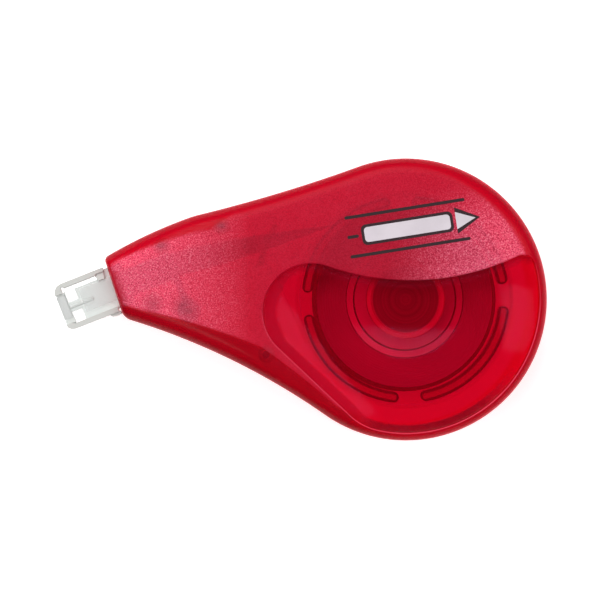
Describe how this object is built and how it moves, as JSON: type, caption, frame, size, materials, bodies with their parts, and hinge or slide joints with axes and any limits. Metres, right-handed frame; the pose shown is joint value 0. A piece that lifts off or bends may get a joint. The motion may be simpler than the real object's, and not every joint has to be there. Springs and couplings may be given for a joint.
{
  "type": "correction tape dispenser",
  "caption": "Drop-shaped clear red case with a sunken window, a white applicator tip and two coaxial reels that feed correction tape round the tip and take the used film back.",
  "frame": {"origin": "on the axis of the two reels, at the flat back face that the dispenser lies on", "axes": "+X away from the applicator tip, along the longest extent; +Z out of the window side, square to the back face; +Y completes the right-handed frame"},
  "size_m": [0.0858, 0.049, 0.0168],
  "materials": {
    "case_red": "clear red, frosted face, polished window and edges",
    "tip_white": "satin white",
    "reel_red": "clear red",
    "core_white": "natural white",
    "tape_white": "chalky white coating on film",
    "film_clear": "clear film",
    "washer_grey": "matt",
    "spring_steel": "drawn wire"
  },
  "bodies": {
    "casing": {"front_shell": "case_red", "back_shell": "case_red", "applicator_tip": "tip_white", "tape_feed_run": "tape_white", "tape_tip_loop": "tape_white", "film_return_run": "film_clear", "axle_cap": "reel_red"},
    "supply": {"supply_reel": "reel_red", "tape_core": "core_white", "tape_pack": "tape_white", "drag_washer": "washer_grey", "friction_washer": "washer_grey"},
    "take_up": {"take_up_reel": "reel_red", "film_winding": "film_clear", "pressure_washer": "washer_grey", "clutch_spring": "spring_steel"}
  },
  "joints": [
    {"name": "supply_spin", "type": "hinge", "parent": "casing", "child": "supply", "pos_m": [0, 0, 0.0046], "axis": [0, 0, 1], "continuous": true},
    {"name": "take_up_spin", "type": "hinge", "parent": "casing", "child": "take_up", "pos_m": [0, 0, 0.0112], "axis": [0, 0, 1], "continuous": true}
  ],
  "couplings": [
    {"joint": "take_up_spin", "follows": "supply_spin", "ratio": 0.8302}
  ]
}
